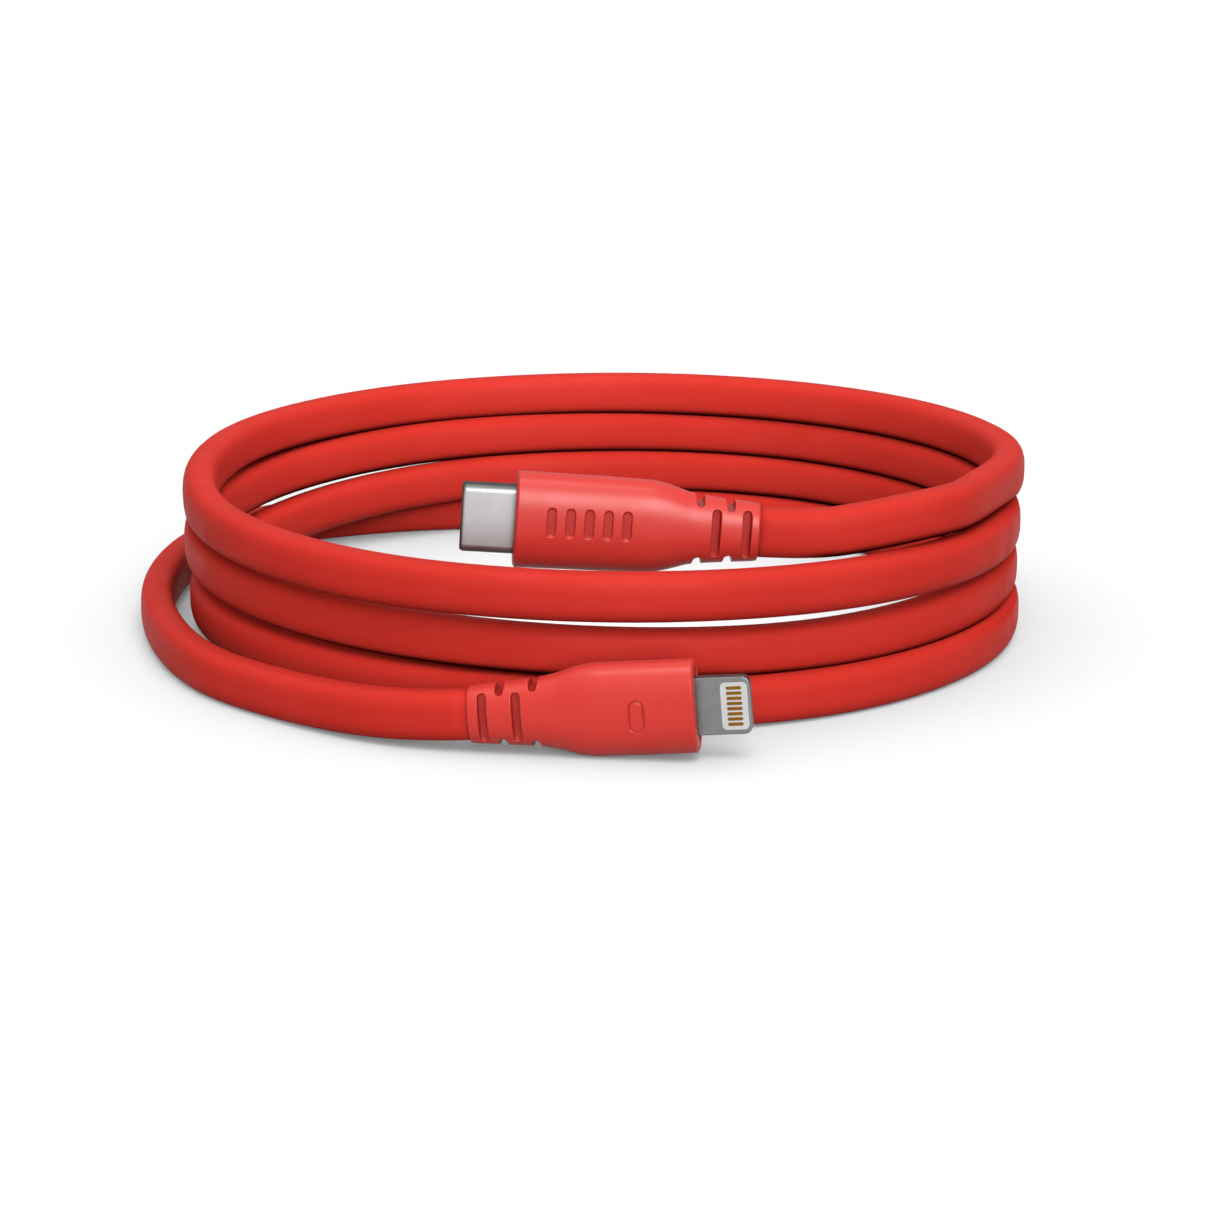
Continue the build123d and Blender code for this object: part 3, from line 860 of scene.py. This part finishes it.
def add_floor():
    """A plain pale floor, with a faint glow of its own that softens the shadows."""
    paint = Paint("pale_floor")
    paint.colour(paint.noise(3, 2), (0.94, 0.94, 0.945), (0.95, 0.95, 0.955))
    paint.shader.inputs["Roughness"].default_value = 0.7
    paint.shader.inputs["Emission Color"].default_value = (1, 1, 1, 1)
    paint.shader.inputs["Emission Strength"].default_value = FLOOR_GLOW
    paint.material.cycles.emission_sampling = "NONE"
    half = FLOOR_HALF
    mesh = bpy.data.meshes.new("floor")
    corners = [(-half, -half, 0), (half, -half, 0), (half, half, 0), (-half, half, 0)]
    mesh.from_pydata(corners, [], [(0, 1, 2, 3)])
    floor = link("floor", mesh, smooth=False)
    floor.data.materials.append(paint.material)


def add_backdrop():
    """A plain white wall round the floor's edge, which only the camera sees, so that it changes no light."""
    paint = Paint("white_backdrop")
    paint.shader.inputs["Base Color"].default_value = (0, 0, 0, 1)
    paint.shader.inputs["Emission Color"].default_value = (1, 1, 1, 1)
    paint.shader.inputs["Emission Strength"].default_value = 1.0
    paint.material.cycles.emission_sampling = "NONE"
    points = []
    for height in BACKDROP_HEIGHTS:
        for side in range(BACKDROP_SIDES):
            angle = 2 * math.pi * side / BACKDROP_SIDES
            points.append((BACKDROP_RADIUS * math.cos(angle), BACKDROP_RADIUS * math.sin(angle), height))
    faces = []
    for side in range(BACKDROP_SIDES):
        after = (side + 1) % BACKDROP_SIDES
        faces.append((side, after, BACKDROP_SIDES + after, BACKDROP_SIDES + side))
    mesh = bpy.data.meshes.new("backdrop")
    mesh.from_pydata(points, [], faces)
    wall = link("backdrop", mesh)
    wall.data.materials.append(paint.material)
    wall.visible_diffuse = False
    wall.visible_glossy = False
    wall.visible_shadow = False
    wall.visible_transmission = False


def add_sun(name, azimuth, elevation, strength, softness, gleam=False):
    """A wide soft light from far off: azimuth 0 is behind the camera, and positive is to the right."""
    data = bpy.data.lights.new(name, "SUN")
    data.energy = strength
    data.angle = math.radians(softness)
    lamp = bpy.data.objects.new(name, data)
    lamp.rotation_euler = (math.radians(90 - elevation), 0, math.radians(azimuth))
    lamp.visible_glossy = gleam
    lamp.visible_diffuse = not gleam
    bpy.context.scene.collection.objects.link(lamp)


def add_inner_light():
    """A small soft light in the coil's middle, that lifts the inner sides of the far turns."""
    data = bpy.data.lights.new("inner", "AREA")
    data.shape = "RECTANGLE"
    data.size = INNER_SIZE[0]
    data.size_y = INNER_SIZE[1]
    data.energy = INNER_POWER
    lamp = bpy.data.objects.new("inner", data)
    lamp.location = INNER_PLACE
    lamp.rotation_euler = (math.radians(INNER_TILT), 0, 0)
    lamp.visible_camera = False
    lamp.visible_glossy = False
    bpy.context.scene.collection.objects.link(lamp)


def add_sky():
    """A plain dome, dimmer at the horizon than overhead."""
    world = bpy.data.worlds.new("studio")
    world.use_nodes = True
    nodes = world.node_tree.nodes
    links = world.node_tree.links
    direction = nodes.new("ShaderNodeTexCoord").outputs["Generated"]
    split = nodes.new("ShaderNodeSeparateXYZ")
    links.new(direction, split.inputs["Vector"])
    ramp = nodes.new("ShaderNodeValToRGB")
    ramp.color_ramp.elements[0].position = 0.0
    ramp.color_ramp.elements[0].color = (SKY_HORIZON, SKY_HORIZON, SKY_HORIZON, 1)
    ramp.color_ramp.elements[1].position = SKY_TOP_AT
    ramp.color_ramp.elements[1].color = (SKY_TOP, SKY_TOP, SKY_TOP, 1)
    links.new(split.outputs["Z"], ramp.inputs["Fac"])
    links.new(ramp.outputs["Color"], nodes["Background"].inputs["Color"])
    nodes["Background"].inputs["Strength"].default_value = SKY_STRENGTH
    bpy.context.scene.world = world


def add_light():
    """The sky, the lamps, and how light is worked out and shown."""
    add_sky()
    for name, values in SUNS.items():
        add_sun(name, *values)
    for name, values in GLEAMS.items():
        add_sun(name, *values, gleam=True)
    add_inner_light()
    bpy.context.scene.view_settings.view_transform = "Standard"
    bpy.context.scene.cycles.diffuse_bounces = 0


# ---- the object ----

def paint_piece(piece, paints, slot):
    """Give a new piece its material, its body and its slot."""
    piece.data.materials.clear()
    piece.data.materials.append(paints[slot])
    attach(piece, "root")


add_camera()
paints = make_paints()

slots = {part["node"]: part["material_slot"] for part in frame["record"]["subparts"]}
for node_name, slot_name in slots.items():
    node_data = frame["nodes"][node_name].data
    node_data.materials.clear()
    node_data.materials.append(paints[slot_name])

type_c_place = plug_place(TYPE_C_LEAD[0], TYPE_C_YAW, TYPE_C_PITCH)
tab_place = plug_place(TAB_LOOP[-1], TAB_YAW, TAB_PITCH)

type_c_marks = [Bars(TYPE_C_BARS, TYPE_C_BAR_RISE, *TYPE_C_BAR_SIZE, side=1)]
type_c_hollows = [
    (TYPE_C_MOULD_END, hollow(SHELL_THICKNESS, SHELL_HEIGHT, SHELL_CORNER + HOLLOW_GAP)),
]
type_c_grip = grip("type_c_grip_skin", TYPE_C_STATIONS, TYPE_C_SLOTS, TYPE_C_NOTCHES, type_c_marks,
                   type_c_hollows, type_c_place)
paint_piece(type_c_grip, paints, "red_jacket")
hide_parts("type_c_grip", "type_c_cord_end")

tab_marks = [Outline(TAB_MARK_MIDDLE, *TAB_MARK_SIZE, TAB_MARK_LINE, side=-1)]
tab_hollows = [
    (ROOT_END, hollow(BLADE_THICKNESS, BLADE_HEIGHT, BLADE_HOLLOW_CORNER)),
    (TAB_MOULD_END, hollow(ROOT_THICKNESS, ROOT_HEIGHT, ROOT_HOLLOW_CORNER)),
]
tab_grip = grip("tab_grip_skin", TAB_STATIONS, TAB_SLOTS, TAB_NOTCHES, tab_marks, tab_hollows, tab_place)
paint_piece(tab_grip, paints, "red_jacket")
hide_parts("tab_grip", "tab_cord_end")

type_c_shell = shell(type_c_place)
paint_piece(type_c_shell, paints, "plug_steel")
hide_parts("type_c_shell")

blade = tab_blade(tab_place)
paint_piece(blade, paints, "tab_steel")
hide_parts("tab_frame")

line = cord_line()
cord = cord_skin(line)
cord.data.materials.append(paints["red_cord"])
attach(cord, "root")
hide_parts("cord_coil", "cord_type_c_lead", "cord_tab_loop")

add_floor()
add_backdrop()
add_light()
